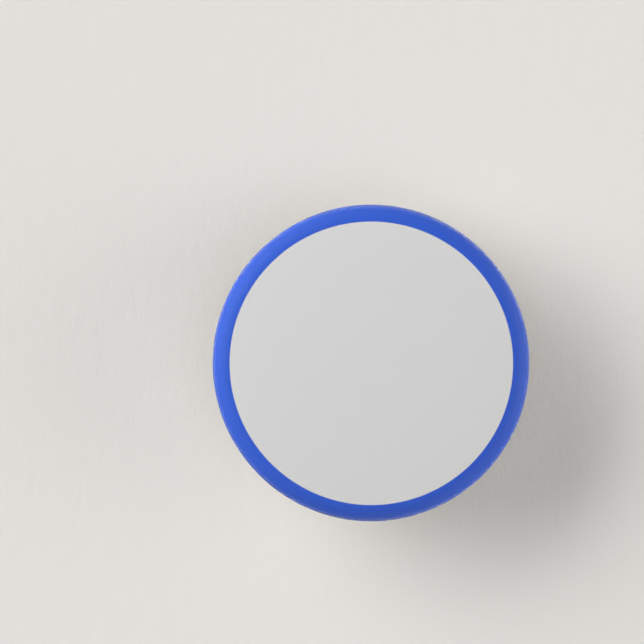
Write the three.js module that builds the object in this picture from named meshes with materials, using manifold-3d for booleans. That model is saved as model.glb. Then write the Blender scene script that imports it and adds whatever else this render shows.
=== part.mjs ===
/**
 * Button badge, 32 mm across, with a one-piece spring-wire pin on its back.
 *
 * Units are millimetres. The badge stands upright, as it is worn: +Z is up, the face looks along
 * -Y and the back along +Y. The origin is on the badge's axis, in the plane of the back rim, which
 * is where the cloth lies. Depths are measured from that plane towards the face, so y = -depth.
 *
 * The pieces are those that a badge press puts together: a tinplate front shell, a printed paper
 * and a clear film that wrap it and are tucked behind its curled edge, a stamped back plate whose
 * lip is caught under that curl, and a spring wire bent into a D, with a hook at one end and a
 * sharp arm at the other. The arm is a mesh of its own, because it springs away from the hook.
 */
import * as THREE from "three";
import Module from "manifold-3d";
import { mergeVertices } from "three/addons/utils/BufferGeometryUtils.js";

const wasm = await Module();
wasm.setup();

// Outline of the wrapped badge
const badgeDiameter = 32;
const crownRadius = 175;        // the face is a shallow dome of this radius
const edgeRadius = 2;           // rounding from the face into the skirt
const skirtLean = 0.06;         // how far the skirt is drawn in on its way to the curl
const skirtDraftDegrees = 2;    // at this angle
const curlRadius = 0.47;        // outside of the rolled edge
const rimStep = 0.1;            // the rolled edge stays this far short of the rim plane

// Sheets
const shellGauge = 0.22;
const paperThickness = 0.1;
const filmThickness = 0.05;
const layerGap = 0.015;         // between the stacked sheets
const shellTuck = 0.45;         // straight edge of each sheet past the curl's inner bend
const paperTuck = 0.75;
const filmTuck = 0.9;

// Back plate, from its edge inwards
const plateGauge = 0.22;
const crimpGap = 0.06;          // between the tucked film and the plate's flange
const lipGap = 0.1;             // between the film's tucked end and the plate's lip
const lipReach = 0.36;          // how far the lip turns out under the curl
const lipDrop = 0.06;
const beadWidth = 0.88;
const beadRun = 0.17;           // the bead's inner flank
const beadBend = 0.3;
const valleyDepth = 0.42;
const crestInset = 0.53;        // from the valley in to the wall's rolled crest
const crestDepth = 0.1;
const crestBend = 0.3;
const wallRun = 0.6;
const landWidth = 2.48;         // sloping ring between the wall and the raised disc
const landRise = 0.55;
const stepRun = 0.31;
const landDrop = 0.35;          // from the disc down to the foot of the land
const ridgeRun = 0.37;
const ridgeRise = 0.14;         // small lip round the raised disc
const ridgeBend = 0.3;

// Holes of the back plate
const holeLength = 6.3;
const holeWidth = 3.3;
const holeInset = 0.655;        // from the raised disc's edge in to the hole's middle
const cutOverrun = 0.6;

// Spring wire
const wireDiameter = 0.8;
const hookSink = 0.08;          // the hook's top stays this far inside the rim plane
const hookGap = 0.3;            // between the hook and the arm beneath it
const clothRoom = 0.52;         // between the arm and the raised disc
const armDrop = 0.7;            // the arm runs this far below the badge's middle
const hookSpacing = 3.68;       // between the middles of the hook's two legs
const hookInset = 0.41;         // from the hole's middle in to the hook's middle
const hookRise = 0.52;          // height of the legs above the badge's middle
const hookEnd = 3.47;           // the hook's round end, below the badge's middle
const hookDroop = 0.15;         // the hook's round end leans in by this much
const hookBend = 0.6;
const hookTail = 0.3;           // the inner leg stops this far short of the ring's level
const kneeOffset = 2.2;         // from the hole's middle out to the knee
const kneeBend = 0.8;
const kneeStub = 0.4;           // straight wire between the knee and the arm
const kneeGap = 0.3;
const ringDrop = 1.6;           // centre of the ring's half circle below the badge's middle
const ringRoom = 0.15;          // between the ring and the sheets on its two sides
const tipReach = 0.27;          // the arm's point, past the middle of the hook's outer leg
const tipTaper = 1.1;
const tipRadius = 0.05;

// Points that lie closer than this are one point
const sameSpot = 0.002;

// Fineness of the round forms, in counts
const turnSegments = 48;
const domeSteps = 2;
const edgeSteps = 4;
const foldSteps = 2;
const beadSteps = 3;
const holeSteps = 5;
const wireSides = 10;
const ringSteps = 14;
const hookSteps = 8;
const bendSteps = 4;
const rootSteps = 3;

// Heights worked out from the wire outwards
const badgeRadius = badgeDiameter / 2;
const wireRadius = wireDiameter / 2;
const hookDepth = hookSink + wireRadius;
const armDepth = hookDepth + wireDiameter + hookGap;
const discDepth = armDepth + wireRadius + clothRoom;
const ridgeDepth = discDepth - ridgeRise;
const landFootDepth = discDepth + landDrop;
const wallFootDepth = landFootDepth - landRise;
const ringDepth = landFootDepth + plateGauge + ringRoom + wireRadius;

// Radii of the back plate, worked out from the curl inwards
const skirtDraft = THREE.MathUtils.degToRad(skirtDraftDegrees);
const girthDepth = rimStep + skirtLean / Math.tan(skirtDraft);
const curlFootRadius = badgeRadius - skirtLean;
const curlInnerRadius = curlFootRadius - curlRadius * (Math.tan((Math.PI / 2 + skirtDraft) / 2) + 1);
const flangeRadius = curlInnerRadius - crimpGap;
const valleyRadius = flangeRadius - beadWidth;
const crestRadius = valleyRadius - crestInset;
const wallFootRadius = crestRadius - wallRun;
const landFootRadius = wallFootRadius - landWidth;
const ridgeRadius = landFootRadius - stepRun;
const discRadius = ridgeRadius - ridgeRun;
const holeCentre = discRadius - holeInset;

// Plan of the wire, seen from the back with the hook on the +X side
const hookOuter = holeCentre - hookInset + hookSpacing / 2;
const hookInner = hookOuter - hookSpacing;
const kneeX = -(holeCentre + kneeOffset);
const armRoot = kneeX + kneeBend + kneeStub + kneeGap + wireRadius;
const armTip = hookOuter + tipReach;
const ringRadius = (hookOuter - kneeX) / 2;
const ringReach = Math.hypot(hookOuter - ringRadius, ringDrop) + ringRadius + wireRadius;

// Height of the face, worked out from the ring that the shell has to clear
const stackThickness = filmThickness + layerGap + paperThickness + layerGap + shellGauge;
const crownFall = crownRadius - Math.sqrt(crownRadius ** 2 - ringReach ** 2);
const faceDepth = ringDepth + wireRadius + ringRoom + stackThickness + crownFall;

console.log("badge", badgeDiameter, "across and", faceDepth.toFixed(3), "thick");
console.log("arm root", armRoot.toFixed(4), "tip", armTip.toFixed(4), "depth", armDepth.toFixed(4));

/** A corner of a sheet's profile, with the radius that its face is bent to there. */
function corner(radius, depth, bend = 0, steps = 0) {
  return { at: new THREE.Vector2(radius, -depth), bend, steps };
}

/**
 * One face of a bent sheet as points with unit normals: straight runs between the corners, each
 * corner rounded to its bend, or mitred where it has none. Normals point to the right of the way
 * along, and a mitred corner's normal is long enough to keep the sheet's gauge.
 */
function bentFace(corners) {
  const face = [];
  const heading = (a, b) => b.at.clone().sub(a.at).normalize();
  const rightOf = (way) => new THREE.Vector2(way.y, -way.x);
  const place = (at, normal) => {
    const last = face[face.length - 1];
    if (!last || last.at.distanceTo(at) > sameSpot) {
      face.push({ at, normal });
    }
  };
  place(corners[0].at, rightOf(heading(corners[0], corners[1])));
  for (let i = 1; i < corners.length - 1; i += 1) {
    const { at, bend, steps } = corners[i];
    const before = heading(corners[i - 1], corners[i]);
    const after = heading(corners[i], corners[i + 1]);
    const turn = Math.atan2(before.cross(after), before.dot(after));
    const reach = bend * Math.tan(Math.abs(turn) / 2);
    const start = at.clone().addScaledVector(before, -reach);
    const centre = start.clone().addScaledVector(rightOf(before), -Math.sign(turn) * bend);
    if (bend === 0) {
      const mitre = rightOf(before).add(rightOf(after));
      place(at, mitre.multiplyScalar(2 / mitre.lengthSq()));
    }
    for (let k = 0; bend > 0 && k <= steps; k += 1) {
      const normal = rightOf(before).rotateAround(new THREE.Vector2(), (turn * k) / steps);
      place(centre.clone().addScaledVector(normal, Math.sign(turn) * bend), normal);
    }
  }
  const end = corners[corners.length - 1];
  place(end.at, rightOf(heading(corners[corners.length - 2], end)));
  return face;
}

/** The closed section of a sheet that lies between two depths under its face, turned on the axis. */
function turnedSheet(face, nearDepth, farDepth) {
  const under = (depth) => face.map(({ at, normal }) => at.clone().addScaledVector(normal, -depth));
  const near = under(nearDepth);
  const far = under(farDepth).reverse();
  return new THREE.LatheGeometry([...near, ...far], turnSegments);
}

/**
 * The face of the wrapped front: a shallow dome from the axis, the rounded edge, the skirt, the
 * curl, and a straight tuck inside it. The dome's and the edge's arcs touch, so their two corners
 * lie on the tangent that both share.
 */
function wrappedFace(tuck) {
  const slope = Math.asin((badgeRadius - edgeRadius) / (crownRadius - edgeRadius));
  const domeCorner = crownRadius * Math.tan(slope / 2);
  const edgeCorner = faceDepth - (badgeRadius - domeCorner) * Math.tan(slope);
  return bentFace([
    corner(0, faceDepth),
    corner(domeCorner, faceDepth, crownRadius, domeSteps),
    corner(badgeRadius, edgeCorner, edgeRadius, edgeSteps),
    corner(badgeRadius, girthDepth),
    corner(curlFootRadius, rimStep, curlRadius, foldSteps),
    corner(curlInnerRadius, rimStep, curlRadius, foldSteps),
    corner(curlInnerRadius, rimStep + curlRadius + tuck),
  ]);
}

const filmDepths = [0, filmThickness];
const paperDepths = [filmDepths[1] + layerGap, filmDepths[1] + layerGap + paperThickness];
const shellDepths = [paperDepths[1] + layerGap, stackThickness];

/** The stamped back plate, with its two obround holes. */
function backPlateGeometry() {
  const lipDepth = rimStep + curlRadius + filmTuck + lipGap;
  const face = bentFace([
    corner(0, discDepth),
    corner(discRadius, discDepth),
    corner(ridgeRadius, ridgeDepth, ridgeBend, foldSteps),
    corner(landFootRadius, landFootDepth),
    corner(wallFootRadius, wallFootDepth),
    corner(crestRadius, crestDepth, crestBend, beadSteps),
    corner(valleyRadius, valleyDepth),
    corner(valleyRadius + beadRun, 0, beadBend, foldSteps),
    corner(flangeRadius, 0, beadBend, beadSteps),
    corner(flangeRadius, lipDepth),
    corner(flangeRadius + lipReach, lipDepth + lipDrop),
  ]);
  const plate = solidFrom(turnedSheet(face, -plateGauge, 0));
  const holes = [holeCentre, -holeCentre].map((x) => {
    const length = landDrop + plateGauge + landRise + 2 * cutOverrun;
    const cutter = new THREE.ExtrudeGeometry(obround(holeLength, holeWidth), {
      depth: length,
      bevelEnabled: false,
      curveSegments: holeSteps,
    });
    cutter.rotateX(Math.PI / 2);
    cutter.translate(x, cutOverrun - wallFootDepth, 0);
    return solidFrom(cutter);
  });
  return geometryFrom(holes.reduce((left, hole) => left.subtract(hole), plate));
}

/** An outline with two straight sides and half-round ends, its length along X. */
function obround(length, width) {
  const radius = width / 2;
  const run = (length - width) / 2;
  const outline = new THREE.Shape();
  outline.moveTo(-run, -radius);
  outline.lineTo(run, -radius);
  outline.absarc(run, 0, radius, -Math.PI / 2, Math.PI / 2, false);
  outline.lineTo(-run, radius);
  outline.absarc(-run, 0, radius, Math.PI / 2, (3 * Math.PI) / 2, false);
  return outline;
}

/** A corner of the wire's middle line: x, z and depth, with the radius it is bent to. */
function wireCorner(x, z, depth, bend = 0, steps = bendSteps) {
  return { at: new THREE.Vector3(x, -depth, z), bend, steps };
}

/**
 * A wire's middle line: straight runs between corners, with every corner rounded to its bend. Its
 * parameter steps evenly from station to station, so a section falls on each end of each bend.
 */
class BentWire extends THREE.Curve {
  constructor(corners) {
    super();
    this.stations = [corners[0].at.clone()];
    for (let i = 1; i < corners.length - 1; i += 1) {
      const { at, bend, steps } = corners[i];
      const before = at.clone().sub(corners[i - 1].at).normalize();
      const after = corners[i + 1].at.clone().sub(at).normalize();
      const turn = before.angleTo(after);
      const reach = bend * Math.tan(turn / 2);
      const inward = after.clone().sub(before).normalize();
      const centre = at.clone().addScaledVector(inward, bend / Math.cos(turn / 2));
      const start = at.clone().addScaledVector(before, -reach);
      const axis = before.clone().cross(after).normalize();
      for (let k = 0; k <= steps; k += 1) {
        const arm = start.clone().sub(centre).applyAxisAngle(axis, (turn * k) / steps);
        this.addStation(centre.clone().add(arm));
      }
    }
    this.addStation(corners[corners.length - 1].at.clone());
  }

  addStation(point) {
    const last = this.stations[this.stations.length - 1];
    if (last.distanceTo(point) > sameSpot) {
      this.stations.push(point);
    }
  }

  get steps() {
    return this.stations.length - 1;
  }

  getPoint(t, target = new THREE.Vector3()) {
    const place = t * this.steps;
    const i = Math.min(Math.floor(place), this.steps - 1);
    return target.lerpVectors(this.stations[i], this.stations[i + 1], place - i);
  }

  getPointAt(u, target) {
    return this.getPoint(u, target);
  }

  getTangentAt(u, target = new THREE.Vector3()) {
    const i = Math.round(u * this.steps);
    const way = (a, b) => this.stations[b].clone().sub(this.stations[a]).normalize();
    target.set(0, 0, 0);
    if (i > 0) {
      target.add(way(i - 1, i));
    }
    if (i < this.steps) {
      target.add(way(i, i + 1));
    }
    return target.normalize();
  }
}

/** The fixed wire: the stub at the knee, the D-shaped ring, and the hook with its inner leg. */
function wireFrameGeometry() {
  const ringEnd = ringDrop + ringRadius;
  const hookRadius = hookSpacing / 2;
  const endDepth = hookDepth + hookDroop;
  const path = new BentWire([
    wireCorner(armRoot - wireRadius - kneeGap, -armDrop, armDepth),
    wireCorner(kneeX, -armDrop, armDepth, kneeBend),
    wireCorner(kneeX, -armDrop, ringDepth, kneeBend),
    wireCorner(kneeX, -ringEnd, ringDepth, ringRadius, ringSteps),
    wireCorner(hookOuter, -ringEnd, ringDepth, ringRadius, ringSteps),
    wireCorner(hookOuter, hookRise, ringDepth, hookBend),
    wireCorner(hookOuter, hookRise, hookDepth, hookBend),
    wireCorner(hookOuter, -hookEnd, endDepth, hookRadius, hookSteps),
    wireCorner(hookInner, -hookEnd, endDepth, hookRadius, hookSteps),
    wireCorner(hookInner, hookRise, hookDepth, hookBend),
    wireCorner(hookInner, hookRise, ringDepth - hookTail),
  ]);
  const section = Array.from({ length: wireSides }, (_, k) => {
    const angle = (2 * Math.PI * k) / wireSides;
    return new THREE.Vector2(wireRadius * Math.cos(angle), wireRadius * Math.sin(angle));
  });
  return new THREE.ExtrudeGeometry(new THREE.Shape(section), { extrudePath: path, steps: path.steps });
}

/** The sharp arm, turned about its own line: a round root, a straight run and a tapered point. */
function pinArmGeometry() {
  const length = armTip - armRoot;
  const outline = [];
  for (let k = 0; k <= rootSteps; k += 1) {
    const angle = (Math.PI / 2) * (k / rootSteps);
    outline.push(new THREE.Vector2(wireRadius * Math.sin(angle), -wireRadius * Math.cos(angle)));
  }
  outline.push(new THREE.Vector2(wireRadius, length - tipTaper));
  outline.push(new THREE.Vector2(tipRadius, length - tipRadius));
  outline.push(new THREE.Vector2(0, length));
  return new THREE.LatheGeometry(outline, wireSides);
}

/** A solid that can be cut, from a closed surface: shared points merged, empty triangles dropped. */
function solidFrom(geometry) {
  const bare = geometry.clone();
  bare.deleteAttribute("normal");
  bare.deleteAttribute("uv");
  const welded = mergeVertices(bare, sameSpot / 2);
  const index = welded.index.array;
  const kept = [];
  for (let i = 0; i < index.length; i += 3) {
    const [a, b, c] = [index[i], index[i + 1], index[i + 2]];
    if (a !== b && b !== c && c !== a) {
      kept.push(a, b, c);
    }
  }
  return new wasm.Manifold(new wasm.Mesh({
    numProp: 3,
    vertProperties: new Float32Array(welded.attributes.position.array),
    triVerts: new Uint32Array(kept),
  }));
}

/** The solid's surface as a geometry again. */
function geometryFrom(solid) {
  const mesh = solid.getMesh();
  const geometry = new THREE.BufferGeometry();
  geometry.setAttribute("position", new THREE.BufferAttribute(mesh.vertProperties, 3));
  geometry.setIndex(new THREE.BufferAttribute(mesh.triVerts, 1));
  geometry.computeVertexNormals();
  return geometry;
}

/** A named mesh with a material of its own. */
function piece(name, geometry, finish) {
  const mesh = new THREE.Mesh(geometry, new THREE.MeshStandardMaterial(finish));
  mesh.name = name;
  return mesh;
}

const tinplate = { color: 0xb9b8b2, roughness: 0.32, metalness: 1 };
const brightWire = { color: 0xd4d6d8, roughness: 0.14, metalness: 1 };

const frontShell = piece("front_shell", turnedSheet(wrappedFace(shellTuck), ...shellDepths), tinplate);
const printedPaper = piece("printed_paper", turnedSheet(wrappedFace(paperTuck), ...paperDepths), {
  color: 0xd2d2d2,
  roughness: 0.8,
  metalness: 0,
});
const clearFilm = piece("clear_film", turnedSheet(wrappedFace(filmTuck), ...filmDepths), {
  color: 0xffffff,
  roughness: 0.2,
  metalness: 0,
  transparent: true,
  opacity: 0.2,
});
const backPlate = piece("back_plate", backPlateGeometry(), tinplate);
const wireFrame = piece("wire_frame", wireFrameGeometry(), brightWire);

const pinArm = piece("pin_arm", pinArmGeometry(), brightWire);
pinArm.position.set(armRoot, -armDepth, -armDrop);
pinArm.rotation.z = -Math.PI / 2;

const badge = new THREE.Group();
badge.name = "button_badge";
badge.add(frontShell, printedPaper, clearFilm, backPlate, wireFrame, pinArm);

export default badge;
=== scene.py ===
"""A button badge, 32 mm across: its wrapped front, its stamped back and its spring wire.

The badge stands upright, as it is worn. The face looks along -Y, the back along +Y, and +Z is up. The
origin is on the badge's axis in the plane of the back rim, and depths run from there to the face, so
y = -depth. Sizes are in millimetres up to the moment when a mesh or the camera is made.
"""
import logging
import math
from abc import ABC, abstractmethod
from collections.abc import Callable, Mapping, Sequence
from dataclasses import dataclass, field
from enum import Enum

import bmesh
import bpy
import numpy as np
from numpy.typing import NDArray
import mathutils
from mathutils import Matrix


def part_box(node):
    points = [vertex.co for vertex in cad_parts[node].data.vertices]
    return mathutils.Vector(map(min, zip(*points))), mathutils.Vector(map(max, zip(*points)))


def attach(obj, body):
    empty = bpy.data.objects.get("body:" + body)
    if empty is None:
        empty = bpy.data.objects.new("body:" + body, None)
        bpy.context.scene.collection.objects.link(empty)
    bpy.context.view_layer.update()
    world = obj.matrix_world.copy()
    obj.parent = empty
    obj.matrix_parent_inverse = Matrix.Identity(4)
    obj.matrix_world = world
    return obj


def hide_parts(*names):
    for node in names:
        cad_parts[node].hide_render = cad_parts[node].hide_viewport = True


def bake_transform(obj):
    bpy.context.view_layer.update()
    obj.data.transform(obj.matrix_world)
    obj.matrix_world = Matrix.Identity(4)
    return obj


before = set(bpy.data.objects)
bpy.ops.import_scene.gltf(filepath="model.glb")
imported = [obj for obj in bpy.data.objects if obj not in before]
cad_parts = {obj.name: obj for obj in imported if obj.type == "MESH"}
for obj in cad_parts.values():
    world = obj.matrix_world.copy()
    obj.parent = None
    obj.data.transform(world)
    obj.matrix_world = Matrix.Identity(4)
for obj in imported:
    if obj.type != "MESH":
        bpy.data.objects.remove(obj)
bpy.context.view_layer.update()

Array = NDArray[np.float64]
Whole = NDArray[np.int64]
# The points of a path and the unit way along, or out of it, at each of them.
Line = tuple[Array, Array]
Pair = tuple[float, float]
Vector = tuple[float, float, float]
Colour = tuple[float, float, float]
Object = bpy.types.Object
Socket = bpy.types.NodeSocket
Value = Socket | float | tuple[float, ...]
Values = Mapping[str | int, Value]

LOG = logging.getLogger("badge")

MM = 0.001
PER_MM = 1000.0
WELD = 1e-4
# Keeps points on round numbers of millimetres off the borders between weld cells.
WELD_SHIFT = 0.137
# The decimals to which rows and stations are rounded, so that equal ones merge.
ROW_DIGITS = 9
STATION_DIGITS = 4
SHARP_ANGLE = math.radians(38.0)
QUARTER = math.pi / 2
# The room for cloth between the closed arm and the disc.
CLOTH_ROOM = 0.52


class Slot(Enum):
    """The record's material slots."""

    SHELL = "shell_tinplate"
    PAPER = "printed_paper"
    FILM = "clear_film"
    PLATE = "plate_tinplate"
    WIRE = "spring_wire"


class Body(Enum):
    """The bodies that pieces ride on."""

    BADGE = "badge"
    PIN = "pin"


# Paths and surfaces


def unit(vectors: Array) -> Array:
    """Vectors scaled to length 1 along their last axis."""
    return vectors / np.linalg.norm(vectors, axis=-1, keepdims=True)


def in_scene(name: str, data: bpy.types.ID) -> Object:
    """Makes an object of a mesh or a camera and links it to the scene."""
    made = bpy.data.objects.new(name, data)
    bpy.context.scene.collection.objects.link(made)
    return made


@dataclass(frozen=True)
class Corner:
    """A corner of a path, the radius that the path is bent to there and the steps of that bend."""

    place: tuple[float, ...]
    bend: float = 0.0
    steps: int = 8


def rounded_path(corners: Sequence[Corner]) -> Line:
    """Joins corners by straight runs and rounds each one to its bend.

    At a corner that turns by t with a bend of radius b, the arc starts b tan(t / 2) before the corner.
    Its points are centre + b (sin(a) w - cos(a) u) for a from 0 to t, where w is the way in and u
    points from the arc's start to its centre, and the way along is cos(a) w + sin(a) u.

    Args:
        corners: the corners from end to end, in two or three dimensions.

    Returns:
        The path's points and the unit way along at each.
    """
    places = np.array([corner.place for corner in corners], float)
    ways = unit(np.diff(places, axis=0))
    points, along = [places[:1]], [ways[:1]]
    for corner, place, before, after in zip(corners[1:-1], places[1:-1], ways[:-1], ways[1:]):
        turn = math.acos(float(np.clip(before @ after, -1.0, 1.0)))
        inward = unit(after - before * (before @ after))
        angles = np.linspace(0.0, turn, corner.steps + 1)[:, None]
        centre = place - before * corner.bend * math.tan(turn / 2) + inward * corner.bend
        points.append(centre + corner.bend * (np.sin(angles) * before - np.cos(angles) * inward))
        along.append(np.cos(angles) * before + np.sin(angles) * inward)
    path = np.concatenate([*points, places[-1:]])
    heading = np.concatenate([*along, ways[-1:]])
    apart = np.linalg.norm(np.diff(path, axis=0), axis=1) > WELD
    kept = np.concatenate([[True], apart])
    return path[kept], heading[kept]


def right_of(way: Array) -> Array:
    """The unit vectors to the right of a way along, in the plane of radius and height."""
    return np.stack([way[:, 1], -way[:, 0]], axis=1)


def turned(profile: Array, angles: Array) -> Array:
    """Turns points of radius r and height y to (r cos(a), y, r sin(a)) for each angle a."""
    radius, height = profile[:, :1], profile[:, 1:]
    return np.stack([radius * np.cos(angles), height + 0.0 * angles, radius * np.sin(angles)], axis=-1)


@dataclass
class Surface:
    """A closed surface made of grids of points that are welded where they share a border."""

    grids: list[Array] = field(default_factory=list)
    marks: list[Array] = field(default_factory=list)

    def add(self, grid: Array, mark: Array | None = None) -> None:
        """Adds a grid of points, with a vector for each point where a pattern needs one."""
        self.grids.append(grid)
        self.marks.append(np.zeros_like(grid) if mark is None else mark)

    def sheet(self, top: Array, bottom: Array) -> None:
        """Adds the two faces of a sheet and the edge between their last rows."""
        for grid in (top, bottom, np.stack([top[-1], bottom[-1]])):
            self.add(grid)

    def welded(self) -> tuple[Array, Array, Whole, Whole]:
        """Merges the points that lie within the weld distance of each other.

        Every cell of a grid is a quad. A quad with one side shrunk to a point becomes a triangle, and
        a quad with less than that left is dropped.

        Returns:
            The points, their marks, the quads and the triangles.
        """
        quads, first = [], 0
        for grid in self.grids:
            rows, columns = grid.shape[:2]
            at = first + np.arange(rows * columns).reshape(rows, columns)
            cells = np.stack([at[:-1, :-1], at[1:, :-1], at[1:, 1:], at[:-1, 1:]], axis=-1)
            quads.append(cells.reshape(-1, 4))
            first += rows * columns
        points = np.concatenate([grid.reshape(-1, 3) for grid in self.grids])
        marks = np.concatenate([mark.reshape(-1, 3) for mark in self.marks])
        keys = np.rint(points / WELD + WELD_SHIFT).astype(np.int64)
        _, firsts, owner = np.unique(keys, axis=0, return_index=True, return_inverse=True)
        cells = owner.reshape(-1)[np.concatenate(quads)]
        shrunk = cells == np.roll(cells, -1, axis=1)
        lost = shrunk.sum(axis=1)
        triangles = cells[lost == 1][~shrunk[lost == 1]].reshape(-1, 3)
        return points[firsts], marks[firsts], cells[lost == 0], triangles

    def piece(self, name: str, mark_name: str = "") -> Object:
        """Makes a mesh object whose faces point outwards, with its place in its mesh.

        Args:
            name: the piece's name.
            mark_name: the name of the attribute that holds the marks, if any.

        Returns:
            The object, at the origin, in metres.
        """
        points, marks, quads, triangles = self.welded()
        mesh = bpy.data.meshes.new(name)
        mesh.vertices.add(len(points))
        mesh.vertices.foreach_set("co", (points * MM).astype(np.float32).ravel())
        sizes = np.concatenate([np.full(len(quads), 4), np.full(len(triangles), 3)])
        corners = np.concatenate([quads.ravel(), triangles.ravel()]).astype(np.int32)
        mesh.loops.add(len(corners))
        mesh.loops.foreach_set("vertex_index", corners)
        mesh.polygons.add(len(sizes))
        mesh.polygons.foreach_set("loop_start", (np.cumsum(sizes) - sizes).astype(np.int32))
        mesh.update(calc_edges=True)
        mesh.validate()
        self.face_outwards(mesh, name)
        mesh.shade_smooth()
        mesh.set_sharp_from_angle(angle=SHARP_ANGLE)
        if mark_name:
            attribute = mesh.attributes.new(mark_name, "FLOAT_VECTOR", "POINT")
            attribute.data.foreach_set("vector", marks.astype(np.float32).ravel())
        return in_scene(name, mesh)

    @staticmethod
    def face_outwards(mesh: bpy.types.Mesh, name: str) -> None:
        """Turns the faces of a closed mesh outwards, and reports any edge that isn't closed."""
        body = bmesh.new()
        body.from_mesh(mesh)
        bmesh.ops.recalc_face_normals(body, faces=body.faces)
        open_edges = sum(not edge.is_manifold for edge in body.edges)
        volume = body.calc_volume(signed=True) / MM**3
        LOG.info("%s: %d faces, %.2f mm3, %d open edges", name, len(body.faces), volume, open_edges)
        body.to_mesh(mesh)
        body.free()


# Shader nodes


class Wiring:
    """Adds nodes to a shader tree and links them."""

    def __init__(self, tree: bpy.types.NodeTree) -> None:
        """Takes the tree to which nodes are added."""
        self.tree = tree

    @classmethod
    def emptied(cls, owner: bpy.types.Material | bpy.types.World) -> "Wiring":
        """The wiring of a material or a world, with its first nodes removed."""
        owner.use_nodes = True
        owner.node_tree.nodes.clear()
        return cls(owner.node_tree)

    def put(self, kind: str, values: Values | None = None, **settings: object) -> bpy.types.Node:
        """Adds a node.

        Args:
            kind: the node's type, without its ShaderNode prefix.
            values: for each input, the socket that feeds it or its own value. Colours have no alpha.
            settings: the node's other properties.

        Returns:
            The node.
        """
        node = self.tree.nodes.new("ShaderNode" + kind)
        for name, setting in settings.items():
            setattr(node, name, setting)
        for name, value in (values or {}).items():
            goal = node.inputs[name]
            if isinstance(value, Socket):
                self.tree.links.new(value, goal)
            else:
                goal.default_value = (*value, 1.0) if goal.type == "RGBA" else value
        return node

    def math(self, operation: str, *terms: Value) -> Socket:
        """The result of a Math node."""
        return self.put("Math", dict(enumerate(terms)), operation=operation).outputs[0]

    def vector(self, operation: str, *terms: Value) -> Socket:
        """The vector that a Vector Math node gives."""
        return self.put("VectorMath", dict(enumerate(terms)), operation=operation).outputs[0]

    def number(self, operation: str, *terms: Value) -> Socket:
        """The number that a Vector Math node gives."""
        return self.put("VectorMath", dict(enumerate(terms)), operation=operation).outputs["Value"]

    def scaled(self, vector: Value, factor: Value) -> Socket:
        """A vector times a number."""
        return self.put("VectorMath", {0: vector, "Scale": factor}, operation="SCALE").outputs[0]

    def ramp(
        self, value: Value, start: float, end: float, low: float = 0.0, high: float = 1.0
    ) -> Socket:
        """A smooth step of the value, from low at start to high at end."""
        values = {"Value": value, "From Min": start, "From Max": end, "To Min": low, "To Max": high}
        return self.put("MapRange", values, interpolation_type="SMOOTHSTEP").outputs["Result"]

    def spread(self, value: Value, low: float, high: float) -> Socket:
        """The value's span from 0 to 1 laid over the span from low to high."""
        return self.put("MapRange", {"Value": value, "To Min": low, "To Max": high}).outputs["Result"]

    def colours(self, share: Value, first: Value, second: Value, blend: str = "MIX") -> Socket:
        """The mix of two colours."""
        values = {0: share, 6: first, 7: second}
        return self.put("Mix", values, data_type="RGBA", blend_type=blend).outputs[2]

    def noise(self, vector: Value, scale: float, detail: float = 2.0, roughness: float = 0.5) -> Socket:
        """A noise value from 0 to 1."""
        values = {"Vector": vector, "Scale": scale, "Detail": detail, "Roughness": roughness}
        return self.put("TexNoise", values).outputs["Fac"]

    def place(self) -> Socket:
        """The place on the piece, in millimetres."""
        return self.scaled(self.put("TexCoord").outputs["Object"], PER_MM)

    def flat(self, place: Value) -> Socket:
        """The part of a place that is square to the badge's axis."""
        return self.vector("MULTIPLY", place, (1.0, 0.0, 1.0))

    def radius(self, place: Value) -> Socket:
        """The distance of a place from the badge's axis."""
        return self.number("LENGTH", self.flat(place))

    def height(self, place: Value) -> Socket:
        """The part of a place or a direction along Y, towards the back."""
        return self.put("SeparateXYZ", {0: place}).outputs["Y"]

    def bump(self, height: Value, depth: float, strength: float, under: Value | None = None) -> Socket:
        """A normal bent by a height that spans the given depth in millimetres."""
        values: dict[str | int, Value] = {"Height": height, "Distance": depth * MM, "Strength": strength}
        if under is not None:
            values["Normal"] = under
        return self.put("Bump", values).outputs["Normal"]

    def shader(self, values: Values) -> Socket:
        """A Principled shader."""
        return self.put("BsdfPrincipled", values).outputs[0]

    def opened(self, share: Value, shader: Socket) -> Socket:
        """A shader that a share of the rays passes straight through."""
        clear = self.put("BsdfTransparent").outputs[0]
        return self.put("MixShader", {0: share, 1: shader, 2: clear}).outputs[0]


class Effect(ABC):
    """A pattern that several finishes share, in a node group that takes a place and one setting."""

    name: str
    setting: str
    kind: str = "Float"
    outputs: tuple[str, ...]

    @abstractmethod
    def wire(self, nodes: Wiring, place: Socket, setting: Socket) -> Sequence[Socket]:
        """Builds the group's nodes.

        Args:
            nodes: where nodes are added.
            place: the group's first input.
            setting: the group's second input.

        Returns:
            The socket behind each output.
        """

    def group(self) -> bpy.types.NodeTree:
        """The node group, built on its first use."""
        if self.name in bpy.data.node_groups:
            return bpy.data.node_groups[self.name]
        tree = bpy.data.node_groups.new(self.name, "ShaderNodeTree")
        for name, kind in (("Vector", "Vector"), (self.setting, self.kind)):
            tree.interface.new_socket(name, in_out="INPUT", socket_type="NodeSocket" + kind)
        for name in self.outputs:
            tree.interface.new_socket(name, in_out="OUTPUT", socket_type="NodeSocketFloat")
        given, taken = tree.nodes.new("NodeGroupInput"), tree.nodes.new("NodeGroupOutput")
        made = self.wire(Wiring(tree), given.outputs[0], given.outputs[1])
        for socket, goal in zip(made, taken.inputs):
            tree.links.new(socket, goal)
        return tree

    def put(self, nodes: Wiring, place: Value, setting: Value) -> Sequence[Socket]:
        """Puts the group into a material and gives its outputs."""
        values = {"Vector": place, self.setting: setting}
        return nodes.put("Group", values, node_tree=self.group()).outputs


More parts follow.
